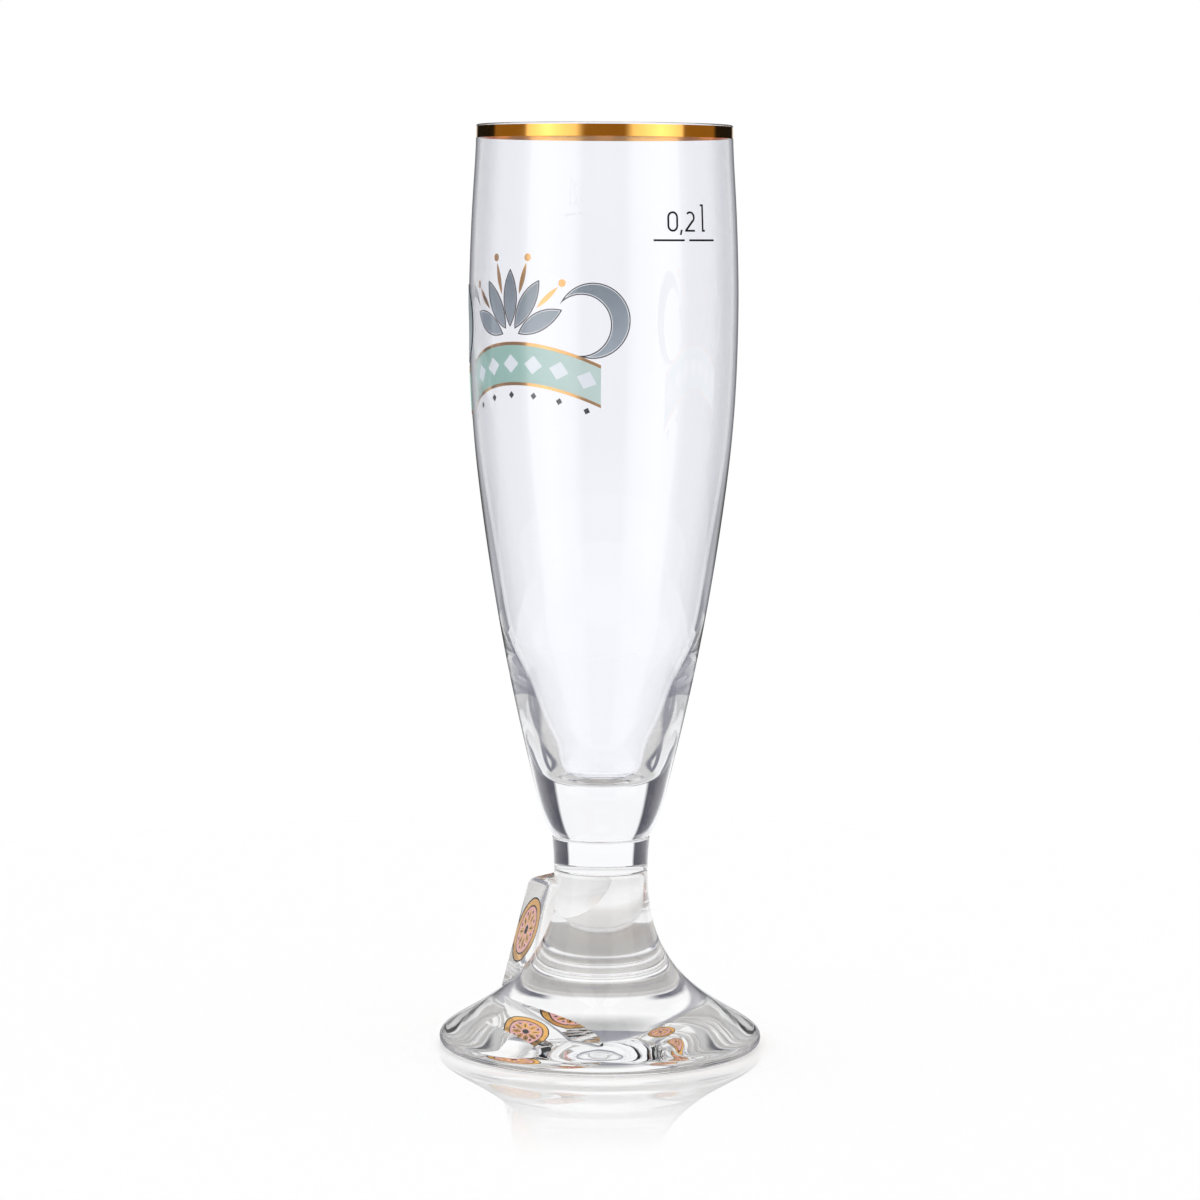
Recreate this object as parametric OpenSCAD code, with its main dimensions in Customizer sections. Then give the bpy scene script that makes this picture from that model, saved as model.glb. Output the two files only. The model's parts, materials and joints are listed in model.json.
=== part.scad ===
/* [Overall] */
// Height of the whole glass, from the table to the rim
glass_h = 202.6; // [190:0.1:225]
// Height of the foot, up to the ring where the stem begins
foot_h = 39.2; // [34:0.1:45]
// Height of the short stem between its two rings
stem_h = 7.6; // [4:0.1:12]

/* [Bowl] */
// Diameter of the bowl at its widest
bowl_d = 58.8; // [54:0.1:66]
// Diameter of the bowl at the rim
rim_d = 55.8; // [50:0.1:58]
// Diameter of the bowl at the ring above the stem
neck_d = 21.7; // [18:0.1:26]
// Distance of the widest place below the rim
belly_drop = 38.8; // [30:0.1:50]
// Thickness of the glass at the rim
wall = 0.9; // [0.6:0.05:2]
// Thickness of the solid glass under the drink
floor_t = 12.4; // [8:0.1:17]

/* [Stem] */
// Diameter of the stem under the bowl
stem_top_d = 21.5; // [17:0.1:26]
// Diameter of the stem on the foot
stem_bottom_d = 20.7; // [17:0.1:26]
// Depth of the groove that rings each joint
ring_groove = 0.35; // [0.1:0.05:0.8]

/* [Foot] */
// Diameter of the foot
foot_d = 71.2; // [62:0.1:85]
// Diameter of the foot at the ring under the stem
foot_top_d = 20.6; // [17:0.1:26]
// Diameter of the hollow under the foot
dish_d = 65; // [50:0.1:66]
// Depth of the hollow under the foot
dish_depth = 3; // [0.5:0.1:6]

/* [Plaque on the foot] */
// Width of the plaque
plaque_w = 18; // [12:0.1:20]
// Distance of the plaque's upper edge below the foot's ring
plaque_drop = 1.9; // [1:0.1:8]
// Distance that the plaque's face stands out from the foot's neck, at its upper edge
plaque_stand = 2.8; // [1.5:0.1:5]
// Distance that the plaque's face stands out from the flare, at the print's lower edge
plaque_seat = 1.4; // [0.6:0.1:3]
// Radius of the plaque's upper corners
plaque_corner = 1.6; // [0.5:0.1:4]
// Place of the plaque round the foot, in degrees
plaque_turn = 145; // [0:1:359]

/* [Gold rim] */
// Height of the gold band at the rim
rim_band_h = 2.5; // [1:0.1:5]

/* [Fill mark] */
// Distance of the fill line below the rim
fill_drop = 24.75; // [15:0.05:40]
// Length of each of the line's two dashes
fill_dash = 7.5; // [4:0.1:12]
// Gap between the two dashes
fill_gap = 1.3; // [0.5:0.1:3]
// Thickness of the lines and of the numerals' strokes
fill_stroke = 0.42; // [0.3:0.02:0.8]
// Height of the numerals
numeral_h = 4.3; // [3:0.1:6]
// Width of the numerals
numeral_w = 2.6; // [2:0.1:4]
// Distance of the numerals above the fill line
numeral_rise = 1.8; // [0.8:0.1:4]
// Place of the fill mark round the bowl, in degrees
fill_turn = -53; // [-180:1:180]

/* [Printed decor] */
// Distance of the decor's middle below the rim
decor_drop = 46.6; // [38:0.1:60]
// Height of the arched green band
band_h = 8; // [4:0.1:10]
// Distance of the green band's crown below the decor's middle
band_drop = 6; // [3:0.1:10]
// Half of the arc that the green band covers, in degrees
band_half_turn = 46; // [30:1:50]
// Tilt of the plane that the arched band lies in, in degrees
band_tilt = 31; // [0:1:40]
// Width of the gold borders
border_w = 0.7; // [0.4:0.1:1.5]
// Length of the grey leaves
leaf_l = 13; // [8:0.1:15]
// Width of the grey leaves
leaf_w = 4.4; // [2:0.1:6]
// Radius of the grey crescents beside the leaves
crescent_r = 8.6; // [5:0.1:10]
// Width of the dark outlines
outline_w = 0.28; // [0.1:0.02:0.4]
// Place of the decor round the bowl, in degrees
decor_turn = 137; // [-180:1:180]

/* [Print on the plaque] */
// Diameter of the round print
badge_d = 15.6; // [8:0.1:16]
// Distance of the round print's middle down the plaque's face
badge_drop = 14; // [9:0.1:16]
// Width of the print's gold ring
badge_ring_w = 1.5; // [0.6:0.05:1.8]
// Width of the print's dark lines
badge_line_w = 0.35; // [0.2:0.05:0.5]

/* [Hidden] */

// Thickness of the fired colours
print_t = 0.1;
// Overrun of cutting shapes
overrun = 1;
// Share of the bowl's radius where the shapes that cut its prints begin
cut_share = 0.88;

// Facets that stand for a round, and steps in each stretch of a curve
$fn = 96;
curve_steps = 3;
lip_steps = 6;

bowl_r = bowl_d / 2;
rim_r = rim_d / 2;
neck_r = neck_d / 2;
foot_r = foot_d / 2;
foot_top_r = foot_top_d / 2;
stem_z = foot_h;
bowl_z = foot_h + stem_h;
belly_z = glass_h - belly_drop;
floor_z = bowl_z + floor_t;
lip_z = glass_h - wall / 2;
// Radius outside all of the bowl, for cutting shapes
clear_r = max(bowl_r, rim_r, neck_r) + overrun;

// Outside of the bowl under its widest place: share of the height, share of the swell from neck to belly
lower_shares = [
    [0, 0], [0.012, 0.04], [0.047, 0.127], [0.104, 0.221], [0.218, 0.391], [0.37, 0.591],
    [0.54, 0.772], [0.711, 0.913], [0.856, 0.981], [1, 1]
];
// Outside and inside of the bowl above its widest place: share of the height, share of the swell over the rim
upper_shares = [[0.24, 0.9], [0.47, 0.68], [0.69, 0.36], [0.87, 0.09], [1, 0]];
// Inside of the bowl under its widest place: share of the depth, share of the widest inner radius
inner_shares = [
    [0, 0], [0.0048, 0.185], [0.018, 0.284], [0.038, 0.328], [0.062, 0.361], [0.09, 0.4045],
    [0.123, 0.4595], [0.1855, 0.5525], [0.234, 0.6225], [0.295, 0.698], [0.38, 0.763], [0.465, 0.816],
    [0.549, 0.87], [0.632, 0.919], [0.716, 0.957], [0.8, 0.98], [0.8815, 0.9925], [1, 1]
];
// Outside of the foot from the table up: share of the height, share of the spread from the stem to the edge
foot_shares = [
    [0, 0.921], [0.012, 0.966], [0.034, 0.996], [0.056, 1], [0.078, 0.987], [0.117, 0.913],
    [0.1735, 0.767], [0.255, 0.569], [0.395, 0.316], [0.587, 0.119], [0.79, 0.026], [1, 0]
];

// Point on a smooth curve between b and c, at share t of the way
function curve_point(a, b, c, d, t) =
    0.5 * (2 * b + (c - a) * t + (2 * a - 5 * b + 4 * c - d) * t * t + (3 * b - a - 3 * c + d) * t * t * t);

// Smooth curve through all the points of a list
function curve(points) =
    let (last = len(points) - 1)
    concat(
        [for (i = [0 : last - 1]) for (k = [0 : curve_steps - 1])
            curve_point(
                points[max(i - 1, 0)], points[i], points[i + 1], points[min(i + 2, last)], k / curve_steps
            )],
        [points[last]]
    );

// Outside of the bowl, from the neck up to where the lip's round begins
outer_curve = curve(concat(
    [for (s = lower_shares) [neck_r + (bowl_r - neck_r) * s[1], bowl_z + (belly_z - bowl_z) * s[0]]],
    [for (s = upper_shares) [rim_r + (bowl_r - rim_r) * s[1], belly_z + (lip_z - belly_z) * s[0]]]
));

// Inside of the bowl, from its deepest point up to the lip
inner_curve = curve(concat(
    [for (s = inner_shares) [(bowl_r - wall) * s[1], floor_z + (belly_z - floor_z) * s[0]]],
    [for (s = upper_shares) [rim_r - wall + (bowl_r - rim_r) * s[1], belly_z + (lip_z - belly_z) * s[0]]]
));

function reversed(points) = [for (i = [len(points) - 1 : -1 : 0]) points[i]];

// Radius of the bowl's outside at a height
function bowl_radius(z) = lookup(z, [for (p = outer_curve) [p[1], p[0]]]);

// Fired colour on the bowl's outside between two heights, all the way round
module film(low, high) {
    points = [for (p = outer_curve) if (p[1] > low && p[1] < high) p];
    inner = concat([[bowl_radius(low), low]], points, [[bowl_radius(high), high]]);
    outer = [for (p = reversed(inner)) [p[0] + print_t, p[1]]];
    rotate_extrude() polygon(concat(inner, outer));
}

// Puts a flat shape on the bowl's outside: along is measured round the bowl, z is a height
module on_bowl(along, z, turn) {
    radius = bowl_radius(z);
    rotate([0, 0, turn + along / radius * 180 / PI])
        translate([radius * cut_share, 0, z])
            rotate([90, 0, 90])
                linear_extrude(clear_r - radius * cut_share)
                    children();
}

// Wedge that opens from the axis along +X
module wedge(half_turn, low, high) {
    half = clear_r * tan(half_turn);
    translate([0, 0, low]) linear_extrude(high - low) polygon([[0, 0], [clear_r, -half], [clear_r, half]]);
}

// Pointed leaf with round sides, standing on the origin, and drawn in from there by an inset
module leaf(length, width, inset = 0) {
    bend = (length * length / 4 + width * width / 4) / width;
    translate([0, length / 2]) intersection() {
        translate([bend - width / 2, 0]) circle(bend - inset);
        translate([width / 2 - bend, 0]) circle(bend - inset);
    }
}

// Lozenge about the origin
module lozenge(width, height) {
    polygon([[-width / 2, 0], [0, -height / 2], [width / 2, 0], [0, height / 2]]);
}

// Upright ring with straight sides and round ends, standing on the origin
module long_ring(width, height, stroke) {
    difference() {
        long_round(width, height);
        translate([0, stroke]) long_round(width - 2 * stroke, height - 2 * stroke);
    }
}

module long_round(width, height) {
    end_r = width / 2;
    translate([-end_r, end_r]) square([width, height - width]);
    translate([0, end_r]) circle(end_r);
    translate([0, height - end_r]) circle(end_r);
}

// Bowl: a blown shell on a thick solid base
module bowl() {
    lip = [for (k = [1 : lip_steps - 1]) [
        rim_r - wall / 2 + wall / 2 * cos(180 * k / lip_steps), lip_z + wall / 2 * sin(180 * k / lip_steps)
    ]];
    color([0.86, 0.92, 0.95, 0.4])
        rotate_extrude()
            polygon(concat([[0, bowl_z]], outer_curve, lip, reversed(inner_curve)));
}

// Stem: a short solid collar, with a groove at each of its rings
module stem() {
    top_r = stem_top_d / 2;
    bottom_r = stem_bottom_d / 2;
    color([0.78, 0.84, 0.88, 0.5])
        translate([0, 0, stem_z])
            rotate_extrude()
                polygon([
                    [0, 0], [bottom_r - ring_groove, 0], [bottom_r, ring_groove],
                    [top_r, stem_h - ring_groove], [top_r - ring_groove, stem_h], [0, stem_h]
                ]);
}

// Hollow under the foot, as a shallow bow from the axis to its edge
dish_steps = 8;
dish_curve = [for (k = [0 : dish_steps])
    let (share = k / dish_steps)
    [dish_d / 2 * share, dish_depth * (1 - share * share)]
];

// Outside of the foot, from the table up to its ring
foot_curve = curve([for (s = foot_shares) [foot_top_r + (foot_r - foot_top_r) * s[1], foot_h * s[0]]]);

// Radius of the foot's outside at a height
function foot_radius(z) = lookup(z, [for (p = foot_curve) [p[1], p[0]]]);

plaque_top = foot_h - plaque_drop;
plaque_low = foot_h * 0.23;
plaque_reach = foot_top_r + plaque_stand;
// The face leans so that the print's lower edge stays clear of the flare
print_low = plaque_top - badge_drop - badge_d / 2;
plaque_lean = atan((foot_radius(print_low) + plaque_seat - plaque_reach) / (plaque_top - print_low));

// Plaque: a slab with a leaning flat face, which grows out of the foot
module plaque() {
    side_h = plaque_top - plaque_low;
    low_reach = plaque_reach + side_h * tan(plaque_lean);
    corner_x = plaque_w / 2 - plaque_corner;
    intersection() {
        rotate([90, 0, 0])
            translate([0, 0, -plaque_w / 2])
                linear_extrude(plaque_w)
                    polygon([
                        [0, plaque_low], [low_reach, plaque_low], [plaque_reach, plaque_top], [0, plaque_top]
                    ]);
        translate([0, 0, plaque_low]) rotate([90, 0, 90]) linear_extrude(low_reach + overrun) union() {
            translate([-plaque_w / 2, 0]) square([plaque_w, side_h - plaque_corner]);
            translate([-corner_x, 0]) square([2 * corner_x, side_h]);
            for (side = [-1, 1])
                translate([side * corner_x, side_h - plaque_corner]) circle(plaque_corner);
        }
    }
}

// Foot: pressed flare with a hollow underside and the plaque in one piece
module foot() {
    color([0.84, 0.88, 0.9, 0.5]) union() {
        rotate_extrude() polygon(concat(dish_curve, foot_curve, [[0, foot_h]]));
        rotate([0, 0, plaque_turn]) plaque();
    }
}

// Gold band fired round the rim, under the clear lip
module rim_band() {
    color("goldenrod") film(lip_z - rim_band_h, lip_z);
}

fill_z = glass_h - fill_drop;

// Fill line: two dashes side by side
module fill_line() {
    color("black") intersection() {
        film(fill_z - fill_stroke, fill_z + fill_stroke);
        for (side = [-1, 1])
            on_bowl(side * (fill_dash + fill_gap) / 2, fill_z, fill_turn)
                translate([-fill_dash / 2, -fill_stroke / 2])
                    square([fill_dash, fill_stroke]);
    }
}

// Places of the four signs along the line, as shares of the numerals' width
sign_shares = [-1.38, -0.6, 0.345, 1.675];

module sign_zero() {
    long_ring(numeral_w, numeral_h, fill_stroke);
}

module sign_comma() {
    slant = fill_stroke * 0.7;
    tail = fill_stroke * 1.6;
    polygon([[-slant, -tail], [fill_stroke - slant, -tail], [fill_stroke, fill_stroke], [0, fill_stroke]]);
}

module sign_two() {
    round_r = numeral_w / 2;
    round_z = numeral_h - round_r;
    knee = (round_r - fill_stroke / 2) * sin(45);
    translate([-round_r, 0]) square([numeral_w, fill_stroke]);
    polygon([
        [-round_r, fill_stroke], [-round_r, 0], [-round_r + fill_stroke * 1.4, fill_stroke],
        [knee + fill_stroke / 2, round_z - knee], [knee - fill_stroke / 2, round_z - knee + fill_stroke / 2]
    ]);
    difference() {
        translate([0, round_z]) circle(round_r);
        translate([0, round_z]) circle(round_r - fill_stroke);
        translate([0, round_z]) rotate(135) square([2 * round_r, 2 * round_r]);
        translate([0, round_z])
            polygon([[0, 0], [-2 * round_r, 0], [0, -2 * round_r], [2 * knee, -2 * knee]]);
    }
}

module sign_litre() {
    tall = numeral_h * 1.35;
    foot_w = fill_stroke * 2;
    square([fill_stroke, tall]);
    square([foot_w, fill_stroke]);
    translate([fill_stroke - foot_w, tall - fill_stroke]) square([foot_w, fill_stroke]);
}

// Numerals of the fill mark: a capacity of 0,2 l
module fill_numerals() {
    low = fill_z + numeral_rise;
    color("black") intersection() {
        film(low - fill_stroke * 3, low + numeral_h * 1.5);
        union() {
            on_bowl(sign_shares[0] * numeral_w, low, fill_turn) sign_zero();
            on_bowl(sign_shares[1] * numeral_w, low, fill_turn) sign_comma();
            on_bowl(sign_shares[2] * numeral_w, low, fill_turn) sign_two();
            on_bowl(sign_shares[3] * numeral_w, low, fill_turn) sign_litre();
        }
    }
}

decor_z = glass_h - decor_drop;
band_z = decor_z - band_drop;
decor_r = bowl_radius(band_z);
arch = decor_r * tan(band_tilt);
decor_low = band_z - arch - band_h;
decor_high = decor_z + leaf_l * 1.8;

// Height of the arched band's middle at an angle from the decor's middle
function arch_z(angle) = band_z - arch * (1 - cos(angle));

// Arched strip: what a tilted slab cuts from the fired colour, raised above the band's middle
module arched_strip(rise, height, half_turn) {
    intersection() {
        film(decor_low, decor_high);
        wedge(half_turn, decor_low, decor_high);
        translate([0, 0, band_z - arch + rise])
            rotate([0, -band_tilt, 0])
                translate([0, -clear_r, -height / 2 * cos(band_tilt)])
                    cube([2 * clear_r, 2 * clear_r, height * cos(band_tilt)]);
    }
}

lozenge_count = 7;
lozenge_w = band_h * 0.62;
lozenge_h = band_h * 0.52;
lozenge_step = 2 * band_half_turn / lozenge_count;

// Flat lozenges in a row along the arched band
module lozenge_row(width, height, rise) {
    for (k = [0 : lozenge_count - 1]) {
        angle = (k - (lozenge_count - 1) / 2) * lozenge_step;
        rotate([0, 0, angle])
            translate([0, 0, arch_z(angle) + rise])
                rotate([90, 0, 90])
                    linear_extrude(clear_r)
                        rotate(-atan(tan(band_tilt) * sin(angle)))
                            lozenge(width, height);
    }
}

// Sage green band of the decor
module decor_band() {
    color("darkseagreen") rotate([0, 0, decor_turn]) difference() {
        arched_strip(0, band_h, band_half_turn);
        lozenge_row(lozenge_w, lozenge_h, 0);
    }
}

// Gold borders along both edges of the band
module decor_borders() {
    rise = (band_h + border_w) / 2;
    color("gold") rotate([0, 0, decor_turn])
        for (side = [-1, 1])
            arched_strip(side * rise, border_w, band_half_turn);
}

// White lozenges within the band
module decor_lozenges() {
    color("white") rotate([0, 0, decor_turn]) intersection() {
        film(decor_low, decor_high);
        lozenge_row(lozenge_w, lozenge_h, 0);
    }
}

// Angles of the fan's leaves and of the gold sprigs between them, in degrees from upright
leaf_turns = [-66, -33, 0, 33, 66];
sprig_turns = [-49, -16, 16, 49];
fan_z = band_z + band_h * 0.5 + border_w * 2;
fan_gap = leaf_w * 0.62;
// The crescents stand beside the fan, on the gold border
crescent_along = leaf_l + leaf_w * 0.6 + crescent_r * 0.7;
crescent_z = arch_z(crescent_along / decor_r * 180 / PI) + band_h / 2 + border_w * 2 + crescent_r;

// Places children on the fan, at a turn from upright and a distance from its middle
module on_fan(turn, distance) {
    on_bowl(distance * sin(turn), fan_z + distance * cos(turn), decor_turn) rotate(-turn) children();
}

// Crescent that opens downwards and to one side, drawn in by an inset
module crescent(radius, inset = 0) {
    difference() {
        circle(radius - inset);
        translate([-radius * 0.32, -radius * 0.12]) circle(radius * 0.8 + inset);
    }
}

// Places children at each leaf of the fan
module at_leaves() {
    half_leaf = leaf_l / 2;
    for (turn = leaf_turns)
        on_fan(turn, fan_gap + half_leaf) translate([0, -half_leaf]) children();
}

// Places children on either side of the fan
module at_crescents() {
    on_bowl(crescent_along, crescent_z, decor_turn) children();
    on_bowl(-crescent_along, crescent_z, decor_turn) mirror([1, 0]) children();
}

// Distance that the grey fills keep inside the outlines' outer edges, with a clear gap between
fill_inset = outline_w * 1.5;

// Slate grey fill of the leaves and crescents
module decor_leaves() {
    color("slategray") intersection() {
        film(decor_low, decor_high);
        union() {
            at_leaves() leaf(leaf_l, leaf_w, fill_inset);
            at_crescents() crescent(crescent_r, fill_inset);
        }
    }
}

sprig_l = leaf_l * 0.55;
sprig_from = fan_gap + leaf_l * 0.6;
sprig_w = leaf_w * 0.28;
berry_r = leaf_w * 0.2;

// Thin gold sprigs with a berry at each tip
module decor_sprigs() {
    half_sprig = sprig_l / 2;
    color("gold") intersection() {
        film(decor_low, decor_high);
        for (turn = sprig_turns) {
            on_fan(turn, sprig_from + half_sprig) translate([0, -half_sprig]) leaf(sprig_l, sprig_w);
            on_fan(turn, sprig_from + sprig_l + berry_r * 1.5) circle(berry_r);
        }
    }
}

dot_w = band_h * 0.2;
dot_drop = band_h / 2 + border_w + dot_w * 1.4;

// Dark outlines of the leaves and crescents, and small lozenges in a row under the band
module decor_lines() {
    color("black") intersection() {
        film(decor_low - dot_drop, decor_high);
        union() {
            at_leaves() difference() {
                leaf(leaf_l, leaf_w);
                leaf(leaf_l, leaf_w, outline_w);
            }
            at_crescents() difference() {
                crescent(crescent_r);
                crescent(crescent_r, outline_w);
            }
            rotate([0, 0, decor_turn]) lozenge_row(dot_w, dot_w, -dot_drop);
        }
    }
}

badge_r = badge_d / 2;
gold_ring_r = badge_r - badge_line_w;
ground_r = gold_ring_r - badge_ring_w - badge_line_w;
petal_count = 8;
petal_l = ground_r * 0.62;
petal_w = ground_r * 0.34;
petal_from = ground_r * 0.26;
vein_l = petal_l * 0.6;
vein_w = petal_w * 0.24;
heart_r = ground_r * 0.2;
bead_r = ground_r * 0.07;
bead_from = ground_r * 0.78;

// Puts a flat shape on the plaque's leaning face, about the print's middle
module on_plaque() {
    rotate([0, 0, plaque_turn])
        translate([plaque_reach, 0, plaque_top])
            rotate([0, -plaque_lean, 0])
                translate([0, 0, -badge_drop])
                    rotate([90, 0, 90])
                        linear_extrude(print_t)
                            children();
}

module flat_ring(radius, width) {
    difference() {
        circle(radius);
        circle(radius - width);
    }
}

// Places children round the print's heart
module round_heart(distance, first_turn) {
    for (k = [0 : petal_count - 1])
        rotate(first_turn + k * 360 / petal_count) translate([0, distance]) children();
}

module petals() {
    round_heart(petal_from, 0) leaf(petal_l, petal_w);
}

module veins() {
    round_heart(petal_from + (petal_l - vein_l) / 2, 0) leaf(vein_l, vein_w);
}

module beads() {
    round_heart(bead_from, 180 / petal_count) circle(bead_r);
}

// Pink ground of the round print, inside its gold ring
module badge_ground() {
    color("lightpink") on_plaque() difference() {
        circle(ground_r);
        petals();
        beads();
        circle(heart_r);
    }
}

// Gold ring and petals of the round print
module badge_gold() {
    color("goldenrod") on_plaque() {
        flat_ring(gold_ring_r, badge_ring_w);
        difference() {
            petals();
            veins();
        }
    }
}

// Dark lines of the round print: two rings, the veins, the beads and the heart
module badge_lines() {
    color("dimgray") on_plaque() {
        flat_ring(badge_r, badge_line_w);
        flat_ring(ground_r + badge_line_w, badge_line_w);
        veins();
        beads();
        circle(heart_r);
    }
}

bowl();
stem();
foot();
rim_band();
fill_line();
fill_numerals();
decor_band();
decor_borders();
decor_lozenges();
decor_leaves();
decor_sprigs();
decor_lines();
badge_ground();
badge_gold();
badge_lines();
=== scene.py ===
import json
import math

import bpy
import numpy as np
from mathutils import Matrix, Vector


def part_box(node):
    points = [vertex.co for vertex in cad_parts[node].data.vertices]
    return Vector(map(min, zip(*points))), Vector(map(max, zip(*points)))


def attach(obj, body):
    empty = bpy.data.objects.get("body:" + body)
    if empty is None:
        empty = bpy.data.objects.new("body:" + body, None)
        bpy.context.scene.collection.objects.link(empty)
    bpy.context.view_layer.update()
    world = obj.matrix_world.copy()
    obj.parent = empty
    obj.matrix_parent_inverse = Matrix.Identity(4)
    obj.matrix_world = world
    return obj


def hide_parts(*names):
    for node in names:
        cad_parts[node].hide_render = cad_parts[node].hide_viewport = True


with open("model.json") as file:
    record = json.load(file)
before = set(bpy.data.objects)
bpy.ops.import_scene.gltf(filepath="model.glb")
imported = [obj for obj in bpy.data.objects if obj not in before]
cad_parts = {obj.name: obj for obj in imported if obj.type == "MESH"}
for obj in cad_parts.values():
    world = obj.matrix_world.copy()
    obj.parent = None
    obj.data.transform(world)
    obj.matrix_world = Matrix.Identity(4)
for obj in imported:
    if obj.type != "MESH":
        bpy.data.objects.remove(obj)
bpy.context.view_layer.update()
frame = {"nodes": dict(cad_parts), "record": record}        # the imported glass: bowl, stem, foot and the fired prints

mm = 0.001
tiny = 0.0001                              # keeps a root off zero
touch = 0.01 * mm                          # two heights this close are one
weld = 0.0002 * mm
scene = bpy.context.scene
scene.view_settings.view_transform = "Standard"
scene.cycles.max_bounces = 28              # thick glass needs many bounces inside
scene.cycles.transmission_bounces = 28
scene.cycles.glossy_bounces = 20
scene.cycles.transparent_max_bounces = 32
scene.cycles.blur_glossy = 0.0             # prints behind the glass keep their full light


# Small tools for modelling

def selectOnly(piece):
    if bpy.context.mode != "OBJECT":
        bpy.ops.object.mode_set(mode="OBJECT")
    bpy.ops.object.select_all(action="DESELECT")
    piece.select_set(True)
    bpy.context.view_layer.objects.active = piece


def applyAll(piece):                       # applies every modifier in its order
    selectOnly(piece)
    for modifier in list(piece.modifiers):
        bpy.ops.object.modifier_apply(modifier=modifier.name)


def smoothCurve(points, spacing, perKnot=40):
    # even steps along a natural cubic spline through given points
    points = np.array(points, dtype=float)
    knots = np.concatenate([[0], np.cumsum(np.linalg.norm(np.diff(points, axis=0), axis=1) ** 0.5)])
    count = len(points)
    gaps = np.diff(knots)
    system = np.eye(count)
    target = np.zeros((count, 2))
    for i in range(1, count - 1):
        system[i, i - 1:i + 2] = gaps[i - 1], 2 * (gaps[i - 1] + gaps[i]), gaps[i]
        target[i] = 6 * ((points[i + 1] - points[i]) / gaps[i] - (points[i] - points[i - 1]) / gaps[i - 1])
    bend = np.linalg.solve(system, target)

    def at(t):
        i = min(max(int(np.searchsorted(knots, t)) - 1, 0), count - 2)
        a, b = knots[i + 1] - t, t - knots[i]
        return ((bend[i] * a ** 3 + bend[i + 1] * b ** 3) / (6 * gaps[i])
                + (points[i] / gaps[i] - bend[i] * gaps[i] / 6) * a
                + (points[i + 1] / gaps[i] - bend[i + 1] * gaps[i] / 6) * b)

    fine = np.array([at(t) for t in np.linspace(0, knots[-1], perKnot * count)])
    run = np.concatenate([[0], np.cumsum(np.linalg.norm(np.diff(fine, axis=0), axis=1))])
    steps = max(int(round(run[-1] / spacing)), 2)
    even = np.linspace(0, run[-1], steps + 1)
    return [(float(np.interp(s, run, fine[:, 0])), float(np.interp(s, run, fine[:, 1]))) for s in even]


def addChain(name, outline):
    # one vertex, extruded from point to point through the outline
    bpy.ops.object.select_all(action="DESELECT")
    bpy.ops.mesh.primitive_plane_add(size=mm)
    piece = bpy.context.object
    piece.name = piece.data.name = name
    bpy.ops.object.mode_set(mode="EDIT")
    bpy.ops.mesh.merge(type="CENTER")
    bpy.ops.transform.translate(value=(outline[0][0], 0, outline[0][1]))
    for a, b in zip(outline, outline[1:]):
        bpy.ops.mesh.extrude_region_move(TRANSFORM_OT_translate={"value": (b[0] - a[0], 0, b[1] - a[1])})
    return piece


def spinOutline(name, outline, steps):
    piece = addChain(name, outline)
    bpy.ops.mesh.select_all(action="SELECT")
    bpy.ops.mesh.spin(steps=steps, angle=2 * math.pi, center=(0, 0, 0), axis=(0, 0, 1))
    bpy.ops.mesh.select_all(action="SELECT")
    bpy.ops.mesh.remove_doubles(threshold=weld)
    bpy.ops.mesh.normals_make_consistent(inside=False)
    bpy.ops.object.mode_set(mode="OBJECT")
    return piece


# Shader maths as expressions, and one method for every other node

class Wire:
    def __init__(self, paint, socket):
        self.paint, self.socket = paint, socket

    def __add__(self, other):
        return self.paint.maths("ADD", self, other)

    def __sub__(self, other):
        return self.paint.maths("SUBTRACT", self, other)

    def __rsub__(self, other):
        return self.paint.maths("SUBTRACT", other, self)

    def __mul__(self, other):
        return self.paint.maths("MULTIPLY", self, other)

    def __truediv__(self, other):
        return self.paint.maths("DIVIDE", self, other)

    def clamped(self):
        return self.paint.maths("ADD", self, 0.0, clamp=True)

    __radd__, __rmul__ = __add__, __mul__


class Paint:
    def __init__(self, tree):
        self.tree = tree
        tree.nodes.clear()

    def node(self, kind, out, settings=None, values=None):
        made = self.tree.nodes.new(kind)
        for key, value in (settings or {}).items():
            if key == "stops":
                ramp = made.color_ramp.elements
                while len(ramp) < len(value):
                    ramp.new(0.5)
                for stop, (place, tone) in zip(ramp, value):
                    stop.position = place
                    stop.color = (*tone, 1) if isinstance(tone, tuple) else (tone, tone, tone, 1)
            else:
                setattr(made, key, value)
        for key, value in (values or {}).items():
            socket = made.inputs[key]
            if isinstance(value, Wire):
                self.tree.links.new(value.socket, socket)
            elif socket.type == "RGBA" and len(value) == 3:
                socket.default_value = (*value, 1)
            else:
                socket.default_value = value
        return Wire(self, made.outputs[out])

    def maths(self, operation, a, b=0.0, clamp=False):
        return self.node("ShaderNodeMath", 0, {"operation": operation, "use_clamp": clamp}, {0: a, 1: b})

    def split(self, vector):
        parts = self.tree.nodes.new("ShaderNodeSeparateXYZ")
        self.tree.links.new(vector.socket, parts.inputs[0])
        return [Wire(self, socket) for socket in parts.outputs]

    def mix(self, factor, a, b):            # colours: the Mix node's A and B are its sockets 6 and 7
        return self.node("ShaderNodeMix", 2, {"data_type": "RGBA"}, {"Factor": factor, 6: a, 7: b})

    def ramp(self, stops, place):
        return self.node("ShaderNodeValToRGB", "Color", {"stops": stops}, {"Fac": place})

    def ray(self, output):                  # what the Light Path node says of the ray
        return self.node("ShaderNodeLightPath", output)

    def finish(self, surface, out="ShaderNodeOutputMaterial"):
        made = self.tree.nodes.new(out)
        self.tree.links.new(surface.socket, made.inputs["Surface"])


def above(value, start, soft):              # 0 up to the start, 1 past the soft edge
    return ((value - start) / soft).clamped()


def below(value, end, soft):                # 1 short of the soft edge, 0 past the end
    return ((end - value) / soft).clamped()


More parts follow.
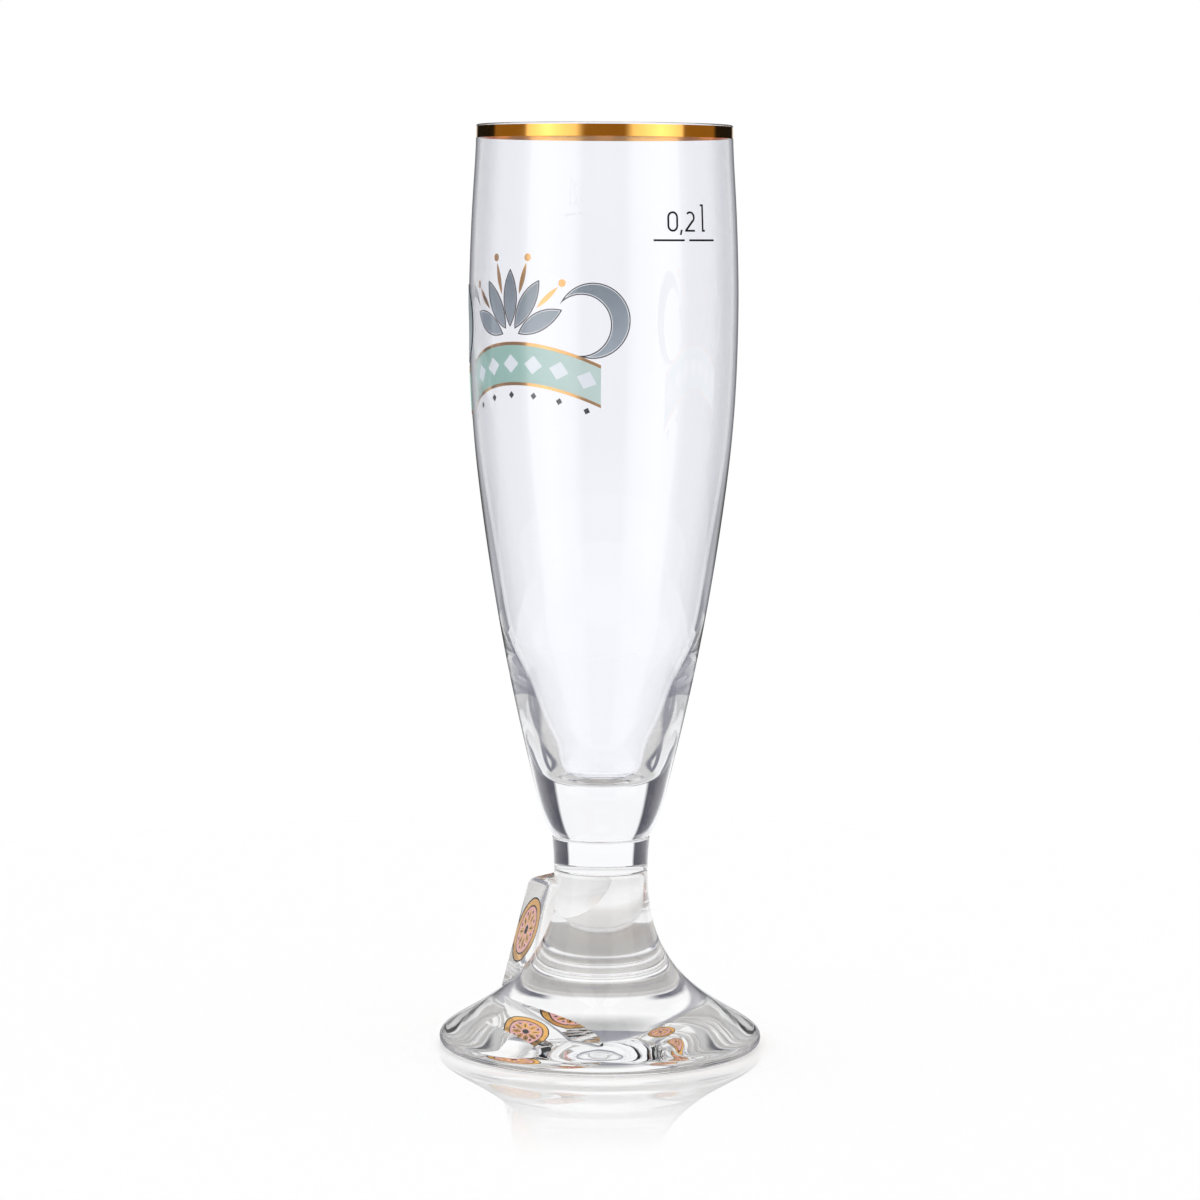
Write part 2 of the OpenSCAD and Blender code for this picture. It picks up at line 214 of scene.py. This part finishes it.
def newMaterial(name):
    material = bpy.data.materials.new(name)
    material.use_nodes = True
    return material, Paint(material.node_tree)


# Clear glass

glassLook = {"tint": (0.972, 0.976, 1.0), "index": 1.52, "wave": 0.0, "waveSize": 140}


def makeGlass(name, look):
    material, paint = newMaterial(name)
    values = {"Base Color": look["tint"], "Roughness": 0.0, "IOR": look["index"], "Transmission Weight": 1.0}
    if look["wave"]:
        place = paint.node("ShaderNodeTexCoord", "Object")
        ripple = paint.node("ShaderNodeTexNoise", "Fac", None, {"Vector": place, "Scale": look["waveSize"]})
        values["Normal"] = paint.node(
            "ShaderNodeBump", "Normal", None, {"Height": ripple, "Distance": look["wave"], "Strength": 1.0})
    paint.finish(paint.node("ShaderNodeBsdfPrincipled", "BSDF", None, values))
    return material


def makeFused():                            # the face between two pieces that are melted together
    material, paint = newMaterial("fusedFace")
    paint.finish(paint.node("ShaderNodeBsdfPrincipled", "BSDF", None, {"Alpha": 0.0}))
    return material


clearGlass = makeGlass("clearGlass", glassLook)
pressedGlass = makeGlass("pressedGlass", dict(glassLook, tint=(0.985, 0.986, 0.986), wave=0.02 * mm))
fusedFace = makeFused()


# Bowl, stem and foot

# where a groove's corners are rounded, as shares of its depth
grooveShares = {"corner": 0.3, "rise": 0.35, "end": 1.4}


def low(node):
    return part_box(node)[0]


def high(node):
    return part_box(node)[1]


bowlSizes = {
    "base": low("bowl").z, "rim": high("bowl").z, "belly": high("bowl").x, "rimRadius": 27.9 * mm,
    "neckRadius": 10.85 * mm, "bellyDrop": 38.8 * mm, "wall": 0.9 * mm, "floor": 12.4 * mm,
    "groove": 0.35 * mm, "seat": 10.4 * mm, "steps": 240, "spacing": 0.85 * mm, "lipPoints": 11,
    "axisGap": 0.2 * mm,                   # the cavity's curve stops this far from the axis
    "skin": 0.03 * mm,                     # the fired prints lie this far outside the glass
    # share of the height and share of the swell, from the neck to the belly
    "lower": [(0.012, 0.04), (0.047, 0.127), (0.104, 0.221), (0.218, 0.391), (0.37, 0.591),
              (0.54, 0.772), (0.711, 0.913), (0.856, 0.981), (1, 1)],
    # share of the height and share of the swell, from the belly to the rim
    "upper": [(0.24, 0.9), (0.47, 0.68), (0.69, 0.36), (0.87, 0.09), (1, 0)],
    # share of the depth and share of the radius, from the deepest point to the belly
    "inner": [(0, 0), (0.0048, 0.185), (0.018, 0.284), (0.038, 0.328), (0.062, 0.361), (0.09, 0.4045),
              (0.123, 0.4595), (0.1855, 0.5525), (0.234, 0.6225), (0.295, 0.698), (0.38, 0.763),
              (0.465, 0.816), (0.549, 0.87), (0.632, 0.919), (0.716, 0.957), (0.8, 0.98), (0.8815, 0.9925),
              (1, 1)],
}


def bowlOutside(s):
    belly, top = s["rim"] - s["bellyDrop"], s["rim"] - s["wall"] / 2
    lowSwell, highSwell = s["belly"] - s["neckRadius"], s["belly"] - s["rimRadius"]
    points = [(s["neckRadius"], s["base"] + s["groove"])]
    points += [(s["neckRadius"] + lowSwell * swell, s["base"] + (belly - s["base"]) * up)
               for up, swell in s["lower"]]
    points += [(s["rimRadius"] + highSwell * swell, belly + (top - belly) * up) for up, swell in s["upper"]]
    return [(r - s["skin"], z) for r, z in smoothCurve(points, s["spacing"])]


def bowlInside(s):
    belly, top = s["rim"] - s["bellyDrop"], s["rim"] - s["wall"] / 2
    bottom, rimInside = s["base"] + s["floor"], s["rimRadius"] - s["wall"]
    highSwell = s["belly"] - s["rimRadius"]
    points = [((s["belly"] - s["wall"]) * wide, bottom + (belly - bottom) * up) for up, wide in s["inner"]]
    points += [(rimInside + highSwell * swell, belly + (top - belly) * up) for up, swell in s["upper"]]
    mirrored = [(-r, z) for r, z in points[3:0:-1]]      # keeps the floor level at the axis
    return [p for p in smoothCurve(mirrored + points, s["spacing"]) if p[0] > s["axisGap"]]


def makeBowl(s):
    outside, inside = bowlOutside(s), bowlInside(s)
    half, corner = s["wall"] / 2, s["groove"] * grooveShares["corner"]
    lip = [(s["rimRadius"] - half + half * math.cos(a), s["rim"] - half + half * math.sin(a))
           for a in np.linspace(0, math.pi, s["lipPoints"])[1:-1]]
    outline = [(0, s["base"]), (s["seat"] / 2, s["base"]), (s["seat"], s["base"]),
               (s["neckRadius"] - corner, s["base"] + corner)]
    outline += outside + lip + inside[::-1] + [(0, s["base"] + s["floor"])]
    bowl = spinOutline("bowl_glass", outline, s["steps"])
    bowl.data.materials.append(clearGlass)
    bowl.data.materials.append(fusedFace)
    for face in bowl.data.polygons:
        face.use_smooth = True
        if abs(face.center.z - s["base"]) < touch:
            face.material_index, face.use_smooth = 1, False
    return bowl


stemSizes = {
    "low": low("stem").z, "high": high("stem").z, "topRadius": 10.75 * mm, "bottomRadius": 10.35 * mm,
    "groove": 0.35 * mm, "bow": 0.06 * mm, "steps": 256, "spacing": 0.15 * mm,
    "flat": 0.99,                           # a face whose normal rises this far is an end
}


def makeStem(s):
    bottom, top, groove = s["low"], s["high"], s["groove"]
    corner, rise, end = (groove * grooveShares[name] for name in ("corner", "rise", "end"))
    middle = (s["topRadius"] + s["bottomRadius"]) / 2 - s["bow"]
    side = [(s["bottomRadius"] - groove, bottom), (s["bottomRadius"] - corner, bottom + rise),
            (s["bottomRadius"], bottom + end), (middle, (bottom + top) / 2), (s["topRadius"], top - end),
            (s["topRadius"] - corner, top - rise), (s["topRadius"] - groove, top)]
    outline = [(0, bottom), (side[0][0] / 2, bottom)] + smoothCurve(side, s["spacing"])
    outline += [(side[-1][0] / 2, top), (0, top)]
    stem = spinOutline("stem_glass", outline, s["steps"])
    stem.data.materials.append(clearGlass)
    stem.data.materials.append(fusedFace)
    for face in stem.data.polygons:
        face.use_smooth = True
        if abs(face.normal.z) > s["flat"]:
            face.material_index, face.use_smooth = 1, False
    return stem


footSizes = {
    "top": high("foot").z, "radius": 35.6 * mm, "topRadius": 10.3 * mm, "seat": 10.0 * mm,
    "groove": 0.35 * mm, "dishRadius": 32.5 * mm, "dish": 3 * mm, "dishPoints": 45,
    "steps": 256, "spacing": 0.6 * mm, "crease": 28,
    # share of the height and share of the spread, from the table to the ring
    "outer": [(0, 0.921), (0.012, 0.966), (0.034, 0.996), (0.056, 1), (0.078, 0.987), (0.117, 0.913),
              (0.1735, 0.767), (0.255, 0.569), (0.395, 0.316), (0.587, 0.119), (0.79, 0.026), (1, 0)],
}
plaqueSizes = {"width": 18 * mm, "top": 37.3 * mm, "low": 9 * mm, "start": 2 * mm, "reach": 13.13 * mm,
               "lean": 16.8, "turn": 145, "corner": 1.6 * mm, "edge": 0.5 * mm, "crease": 40}


def makePlaque(s):
    # a block with its outer side leaning, corners and edges rounded
    bpy.ops.object.select_all(action="DESELECT")
    bpy.ops.mesh.primitive_cube_add(size=1)
    plaque = bpy.context.object
    plaque.name = "plaque"
    height = s["top"] - s["low"]
    plaque.scale = (s["reach"] - s["start"], s["width"], height)
    plaque.location = ((s["reach"] + s["start"]) / 2, 0, (s["top"] + s["low"]) / 2)
    bpy.ops.object.transform_apply(location=True, rotation=True, scale=True)
    bpy.ops.object.mode_set(mode="EDIT")
    bpy.ops.mesh.select_all(action="DESELECT")
    bpy.ops.object.mode_set(mode="OBJECT")
    for vertex in plaque.data.vertices:                  # the outer lower edge moves out
        vertex.select = vertex.co.x > s["reach"] / 2 and vertex.co.z < s["top"] - touch
    bpy.ops.object.mode_set(mode="EDIT")
    bpy.ops.transform.translate(value=(height * math.tan(math.radians(s["lean"])), 0, 0))
    bpy.ops.mesh.select_all(action="DESELECT")
    bpy.ops.object.mode_set(mode="OBJECT")
    for edge in plaque.data.edges:                       # the two upper corners, front to back
        a, b = (plaque.data.vertices[i].co for i in edge.vertices)
        edge.select = min(a.z, b.z) > s["top"] - touch and abs(a.y - b.y) < touch
    bpy.ops.object.mode_set(mode="EDIT")
    bpy.ops.mesh.select_mode(type="EDGE")
    bpy.ops.mesh.bevel(offset=s["corner"], segments=8, profile=0.5)
    bpy.ops.mesh.select_mode(type="VERT")
    bpy.ops.object.mode_set(mode="OBJECT")
    bevel = plaque.modifiers.new("edges", "BEVEL")
    bevel.width, bevel.segments = s["edge"], 4
    bevel.limit_method, bevel.angle_limit = "ANGLE", math.radians(s["crease"])
    applyAll(plaque)
    plaque.rotation_euler.z = math.radians(s["turn"])
    bpy.ops.object.transform_apply(location=True, rotation=True, scale=True)
    return plaque


def makeFoot(s, plaque):
    top, spread = s["top"], s["radius"] - s["topRadius"]
    side = [(s["topRadius"] + spread * wide, top * up) for up, wide in s["outer"]]
    side[-1] = (s["topRadius"], top - s["groove"])
    flare, corner = smoothCurve(side, s["spacing"]), s["groove"] * grooveShares["corner"]
    dish = [(s["dishRadius"] * share, s["dish"] * (1 - share * share))
            for share in np.linspace(0, 1, s["dishPoints"])]
    outline = dish + flare + [(s["topRadius"] - corner, top - corner), (s["seat"], top), (s["seat"] / 2, top),
                              (0, top)]
    foot = spinOutline("foot_glass", outline, s["steps"])
    foot.data.materials.append(pressedGlass)
    foot.data.materials.append(fusedFace)
    join = foot.modifiers.new("plaque", "BOOLEAN")
    join.operation, join.object, join.solver = "UNION", plaque, "EXACT"
    applyAll(foot)
    bpy.data.objects.remove(plaque)
    bpy.ops.object.shade_smooth_by_angle(angle=math.radians(s["crease"]))
    for face in foot.data.polygons:
        if abs(face.center.z - top) < touch:
            face.material_index = 1
    return foot


# Fired gold and enamels

goldLook = {"base": (0.95, 0.53, 0.14), "dim": (0.88, 0.45, 0.1), "smooth": 0.06, "worn": 0.14, "size": 260,
            "detail": 3.0}
enamelLooks = {
    "black_enamel": {"base": (0.006, 0.006, 0.008), "thin": (0.014, 0.013, 0.015), "rough": 0.22,
                     "shine": 0.08},
    "sage_enamel": {"base": (0.34, 0.58, 0.47), "thin": (0.62, 0.76, 0.67), "rough": 0.3, "shine": 0.3,
                    "fade": (0, -24 * mm, -6 * mm)},
    "white_enamel": {"base": (0.93, 0.95, 0.94), "thin": (0.88, 0.92, 0.90), "rough": 0.3, "shine": 0.3},
    "slate_enamel": {"base": (0.2, 0.245, 0.265), "thin": (0.44, 0.5, 0.53), "rough": 0.28, "shine": 0.3,
                     "fade": (2, 170 * mm, 150 * mm)},
    "pink_enamel": {"base": (0.92, 0.42, 0.40), "thin": (0.96, 0.55, 0.52), "rough": 0.28, "shine": 0.3},
}
enamelGrain = {"size": 420, "detail": 4.0, "rough": 0.12, "fade": 0.9, "cloud": 0.3}


def makeGold(look):
    material, paint = newMaterial("firedGold")
    place = paint.node("ShaderNodeTexCoord", "Object")
    cloud = paint.node("ShaderNodeTexNoise", "Fac", None, {
        "Vector": place, "Scale": look["size"], "Detail": look["detail"]})
    paint.finish(paint.node("ShaderNodeBsdfPrincipled", "BSDF", None, {
        "Base Color": paint.mix(cloud, look["dim"], look["base"]), "Metallic": 1.0,
        "Roughness": look["smooth"] + cloud * (look["worn"] - look["smooth"])}))
    return material


def makeEnamel(name, look, grain):
    material, paint = newMaterial(name)
    place = paint.node("ShaderNodeTexCoord", "Object")
    cloud = paint.node("ShaderNodeTexNoise", "Fac", None, {
        "Vector": place, "Scale": grain["size"], "Detail": grain["detail"]})
    share = cloud
    if "fade" in look:                      # lighter along one axis: towards the far side for sage, towards the bottom for slate
        axis, first, last = look["fade"]
        share = (paint.split(place)[axis] - first) / (last - first) * grain["fade"]
        share = share + cloud * grain["cloud"] - grain["cloud"] / 2
    paint.finish(paint.node("ShaderNodeBsdfPrincipled", "BSDF", None, {
        "Base Color": paint.mix(share.clamped(), look["base"], look["thin"]),
        "Specular IOR Level": look["shine"], "Roughness": look["rough"] + cloud * grain["rough"]}))
    return material


slotLooks = {"gold": makeGold(goldLook)}
for slot, look in enamelLooks.items():
    slotLooks[slot] = makeEnamel(slot + "_fired", look, enamelGrain)
print("materials made")

bowl = makeBowl(bowlSizes)
stem = makeStem(stemSizes)
foot = makeFoot(footSizes, makePlaque(plaqueSizes))
print("glass pieces made")


# Gold band at the rim: a thin fired film that follows the glass

bandSizes = {"low": low("rim_band").z, "high": high("rim_band").z, "sunk": 0.012 * mm, "proud": 0.03 * mm,
             "levels": 9, "steps": 256, "crease": 40}


def makeRimBand(s, outside):
    heights = [z for r, z in outside]
    radii = [r for r, z in outside]
    levels = np.linspace(s["low"], s["high"], s["levels"])
    skin = [(float(np.interp(z, heights, radii)), float(z)) for z in levels]
    outline = [(r - s["sunk"], z) for r, z in skin] + [(r + s["proud"], z) for r, z in skin[::-1]]
    band = spinOutline("rim_gold", outline + outline[:1], s["steps"])
    band.data.materials.append(slotLooks["gold"])
    bpy.ops.object.shade_smooth_by_angle(angle=math.radians(s["crease"]))
    return band


rimBand = makeRimBand(bandSizes, bowlOutside(bowlSizes))
for piece, node, slot in ((bowl, "bowl", "clear_glass"), (stem, "stem", "clear_glass"),
                          (foot, "foot", "pressed_glass"), (rimBand, "rim_band", "gold")):
    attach(piece, "root")
    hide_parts(node)

nodeSlots = {entry["node"]: entry["material_slot"] for entry in frame["record"]["subparts"]}
for name, node in frame["nodes"].items():
    if nodeSlots[name] in slotLooks:
        for place in node.material_slots:
            place.material = slotLooks[nodeSlots[name]]
print("prints dressed")


# Table and light

# tone of the surroundings, from behind the viewer (0) round to beyond the glass (1)
studio = {
    # as seen straight through the solid glass
    "through": [(0.0, 0.3), (0.03, 0.3), (0.06, 1.35), (0.34, 1.35), (0.38, 0.26), (0.7, (0.06, 0.055, 0.09)),
                (0.73, (0.025, 0.022, 0.045)), (0.915, (0.025, 0.022, 0.045)), (0.93, 1.0), (1.0, 1.0)],
    # as seen by light that is thrown back inside the glass
    "inside": [(0.0, 0.6), (0.1, 0.6), (0.16, 0.8), (0.3, 0.75), (0.38, 0.35), (0.7, 0.5), (0.86, 0.8),
               (0.9, (0.13, 0.13, 0.17)), (0.974, (0.13, 0.13, 0.17)), (0.986, 1.0), (1.0, 1.0)],
    # as seen by light that the foot's underside throws up
    "risen": [(0.0, 0.93), (0.4, 0.93), (0.47, 0.55), (0.65, 0.5), (0.7, 0.3), (0.74, (0.06, 0.06, 0.08)),
              (0.85, (0.1, 0.1, 0.13)), (0.875, (0.33, 0.33, 0.37)), (0.905, (0.33, 0.33, 0.37)), (0.92, 1.0),
              (1.0, 1.0)],
    "overhead": [(0.0, 0.95), (0.4, 0.95), (0.5, 0.82), (0.88, 0.78), (0.96, 0.6), (1.0, 0.5)],
    # as mirrored by clear glass
    "sheen": [(0.0, (0.5, 0.5, 0.56)), (0.03, (0.5, 0.5, 0.56)), (0.07, 1.2), (0.33, 1.2),
              (0.39, (0.5, 0.5, 0.6)), (0.66, (0.5, 0.5, 0.6)), (0.7, (0.3, 0.3, 0.38)),
              (0.8, (0.4, 0.4, 0.48)), (0.86, 1.05), (0.94, 0.95), (0.975, 0.25), (1.0, 0.03)],
    # as mirrored by gold and enamel
    "metal": [(0.0, (0.27, 0.17, 0.05)), (0.025, (0.27, 0.17, 0.05)), (0.05, 1.3), (0.19, 2.1), (0.35, 1.3),
              (0.375, (0.27, 0.17, 0.05)), (0.7, (0.27, 0.17, 0.05)), (0.73, 0.01), (0.97, 0.01), (0.99, 1.0),
              (1.0, 1.0)],
    # as mirrored behind the front wall
    "behind": [(0.0, (0.4, 0.4, 0.46)), (0.025, (0.4, 0.4, 0.46)), (0.05, 1.2), (0.19, 1.6), (0.35, 1.2),
               (0.375, (0.3, 0.29, 0.34)), (0.7, (0.24, 0.23, 0.28)), (0.73, 0.03), (0.97, 0.03), (0.99, 1.0),
               (1.0, 1.0)],
    "white": (1.0, 1.0, 1.0),
    "fill": (1.06, 1.06, 1.06),             # what lights the scene
    "underGlass": (1.25, 1.25, 1.25),       # and what lights it through the glass
    # heights of the ray, from level (0) to straight up (1), where a tone begins, and how softly
    "riseFrom": 0.06, "riseSoft": 0.08, "steepFrom": -0.2, "steepSoft": 0.08,
    "mirrorTop": 0.17, "mirrorSoft": 0.06, "panelTop": 0.45, "panelSoft": 0.2,
}
rayLimits = {"once": 0.5, "fewFaces": 2.5, "someFaces": 4.5}     # counts, set between whole numbers


def rayKinds(paint):
    # light from the glass, light that crossed few faces, and light that was thrown back
    inGlass = paint.ray("Is Transmission Ray")
    few = paint.maths("LESS_THAN", paint.ray("Transmission Depth"), rayLimits["fewFaces"])
    thrown = paint.maths("GREATER_THAN", paint.ray("Glossy Depth"), rayLimits["once"])
    return inGlass, few, thrown


def makeStudio(s):
    world = bpy.data.worlds.new("studio")
    world.use_nodes = True
    paint = Paint(world.node_tree)
    x, y, z = paint.split(paint.node("ShaderNodeTexCoord", "Generated"))
    ahead = (y / paint.maths("SQRT", x * x + y * y + tiny) + 1) * 0.5
    overMirror = above(z, s["mirrorTop"], s["mirrorSoft"])
    overPanel = above(z, s["panelTop"], s["panelSoft"])
    risen = above(z, s["riseFrom"], s["riseSoft"])
    steep = below(z, s["steepFrom"], s["steepSoft"])        # seen from well above, through one wall

    inGlass, few, thrown = rayKinds(paint)
    fresh = paint.maths("LESS_THAN", paint.ray("Diffuse Depth"), rayLimits["once"])
    some = paint.maths("LESS_THAN", paint.ray("Transmission Depth"), rayLimits["someFaces"])
    throughRay = inGlass * few * fresh
    deepRay = inGlass * (1 - few) * thrown * fresh
    glossyRay = paint.ray("Is Glossy Ray") * (1 - inGlass) * fresh
    under = inGlass * (1 - few) * some

    plain = paint.mix(fresh, paint.mix(under, s["fill"], s["underGlass"]), s["white"])
    thrownBack = paint.mix(risen, paint.ramp(s["inside"], ahead), paint.ramp(s["risen"], ahead))
    thrownBack = paint.mix(overPanel, thrownBack, paint.ramp(s["overhead"], ahead))
    straight = paint.mix((overPanel + steep).clamped(), paint.ramp(s["through"], ahead), s["white"])
    bent = paint.mix(thrown, straight, thrownBack)
    inMetal = paint.mix(overMirror, paint.ramp(s["metal"], ahead), s["white"])
    mirrored = paint.mix(paint.ray("Is Singular Ray"), inMetal, paint.ramp(s["sheen"], ahead))
    behind = paint.mix(deepRay, plain, paint.mix(overMirror, paint.ramp(s["behind"], ahead), s["white"]))
    tone = paint.mix(throughRay, paint.mix(glossyRay, behind, mirrored), bent)
    light = paint.node("ShaderNodeBackground", "Background", None, {"Color": tone, "Strength": 1.0})
    paint.finish(light, "ShaderNodeOutputWorld")
    return world


scene.world = makeStudio(studio)

tableSizes = {
    "radius": 320 * mm, "sides": 96, "white": (0.95, 0.95, 0.95),
    # the table mirrors the foot from the contact on, and the image fades
    "mirror": 0.62, "blur": 0.004, "contact": 37 * mm, "contactSoft": 8 * mm,
    "clear": 36 * mm, "faded": 118 * mm,
    # places below are turns about the axis, from the viewer's side (0) to the far side (1)
    # painted shade: dark sheets painted on the table at the sides, met only by light that is thrown back inside the
    # glass
    "shade": (0.14, 0.14, 0.18), "under": 88 * mm, "near": 118 * mm, "sheetSoft": 10 * mm,
    "asideTo": 0.968, "asideSoft": 0.012, "wideFrom": 0.65, "wideSoft": 0.05,
    "slimFrom": 0.895, "slimSoft": 0.02,
    # painted shade: dim sides painted on the table, met only by light that has crossed many faces
    "dim": (0.26, 0.26, 0.31), "dimFrom": 0.36, "dimFromSoft": 0.02, "dimTo": 0.98, "dimToSoft": 0.01,
    # painted reflection: the table close by is painted dark for mirrored light, so clear glass mirrors a dark table
    "paintedReflection": (0.28, 0.28, 0.33), "paintedReflectionTo": 130 * mm, "paintedReflectionSoft": 40 * mm,
    # painted shade: tone by distance from the axis, as seen through the glass and as thrown back inside it, darker
    # under and near the foot
    "reach": 240 * mm,
    "seen": [(0.0, (0.46, 0.45, 0.43)), (0.17, (0.46, 0.45, 0.43)), (0.22, (0.5, 0.49, 0.47)),
             (0.3, (0.68, 0.67, 0.65)), (0.38, 0.9), (0.5, 0.88), (0.62, 0.78), (0.73, 0.74), (0.9, 0.93)],
    "thrown": [(0.0, (0.46, 0.45, 0.43)), (0.2, (0.46, 0.45, 0.43)), (0.3, (0.53, 0.52, 0.5)),
               (0.42, (0.6, 0.59, 0.57)), (0.6, 0.8), (1.0, 0.85)],
}


def paintTable(s):
    material, paint = newMaterial("tableTop")
    x, y, z = paint.split(paint.node("ShaderNodeTexCoord", "Object"))
    distance = paint.maths("SQRT", x * x + y * y + tiny)
    turned = (y / distance + 1) * 0.5
    inGlass, few, thrown = rayKinds(paint)

    wide = above(turned, s["wideFrom"], s["wideSoft"])
    slim = above(turned, s["slimFrom"], s["slimSoft"])
    near = below(distance, s["near"], s["sheetSoft"])
    paintedSheets = below(turned, s["asideTo"], s["asideSoft"]) * (slim + (wide - slim) * near)
    paintedSheets = paintedSheets * above(distance, s["under"], s["sheetSoft"])
    sides = above(turned, s["dimFrom"], s["dimFromSoft"]) * below(turned, s["dimTo"], s["dimToSoft"])
    span = distance / s["reach"]
    wallRay = inGlass * thrown * few
    # painted shade near the foot, for light thrown back inside the glass
    top = paint.mix(wallRay, s["white"], paint.ramp(s["thrown"], span))
    # painted shade on the table, for light thrown back inside the glass
    top = paint.mix(wallRay * paintedSheets, top, s["shade"])
    # painted shade at the sides, for light that has crossed many faces
    top = paint.mix(inGlass * thrown * (1 - few) * sides, top, s["dim"])
    # painted shade under and near the foot, for light seen through the glass
    top = paint.mix(inGlass * (1 - thrown) * few, top, paint.ramp(s["seen"], span))
    glossyRay = paint.ray("Is Glossy Ray") * (1 - inGlass)
    # painted reflection: dark table near the glass, seen only by mirrored light
    top = paint.mix(glossyRay * below(distance, s["paintedReflectionTo"], s["paintedReflectionSoft"]), top, s["paintedReflection"])

    image = below(distance, s["faded"], s["faded"] - s["clear"])
    share = above(distance, s["contact"], s["contactSoft"]) * image * image * s["mirror"]
    matte = paint.node("ShaderNodeBsdfDiffuse", "BSDF", None, {"Color": top})
    mirror = paint.node("ShaderNodeBsdfGlossy", "BSDF", None, {"Color": (1, 1, 1), "Roughness": s["blur"]})
    paint.finish(paint.node("ShaderNodeMixShader", "Shader", None, {0: share, 1: matte, 2: mirror}))
    return material


bpy.ops.object.select_all(action="DESELECT")
bpy.ops.mesh.primitive_circle_add(
    vertices=tableSizes["sides"], radius=tableSizes["radius"], fill_type="NGON")
table = bpy.context.object
table.name = "table"
table.data.materials.append(paintTable(tableSizes))

# Flag beyond the glass, painted shade: a dark glowing sheet for light that the bowl's wall throws back, clear for the
# rest; it draws the dark stripes in the wall
flagSizes = {"away": 60 * mm, "low": 86 * mm, "high": 240 * mm, "width": 380 * mm,
             "tone": (0.26, 0.265, 0.305)}


def paintFlag(tone):
    material, paint = newMaterial("flagCloth")
    inGlass, few, thrown = rayKinds(paint)
    clear = paint.node("ShaderNodeBsdfTransparent", "BSDF")
    # painted shade: the sheet glows dark and is seen only in the glass
    paintedShade = paint.node("ShaderNodeEmission", "Emission", None, {"Color": tone, "Strength": 1.0})
    paint.finish(paint.node("ShaderNodeMixShader", "Shader", None, {
        0: inGlass * thrown * few, 1: clear, 2: paintedShade}))
    return material


bpy.ops.object.select_all(action="DESELECT")
bpy.ops.mesh.primitive_plane_add(size=1)
flag = bpy.context.object
flag.name = "flag"
flag.scale = (flagSizes["width"], flagSizes["high"] - flagSizes["low"], 1)
flag.rotation_euler.x = math.radians(90)
flag.location = (0, flagSizes["away"], (flagSizes["high"] + flagSizes["low"]) / 2)
bpy.ops.object.transform_apply(location=True, rotation=True, scale=True)
flag.data.materials.append(paintFlag(flagSizes["tone"]))
print("studio made")


# Camera

view = {"away": 833 * mm, "height": 182 * mm, "side": -0.92 * mm, "down": 5.695, "roll": -0.3,
        "focus": 3809, "picture": 1200,     # in pixels
        "sensor": 36, "clip": 10 * mm}

camera = bpy.data.objects.new("camera", bpy.data.cameras.new("camera"))
scene.collection.objects.link(camera)
scene.camera = camera
camera.data.sensor_width = view["sensor"]
camera.data.lens = view["focus"] / view["picture"] * view["sensor"]
camera.data.clip_start = view["clip"]
camera.location = (view["side"], -view["away"], view["height"])
camera.rotation_euler = (math.radians(90 - view["down"]), math.radians(view["roll"]), 0)
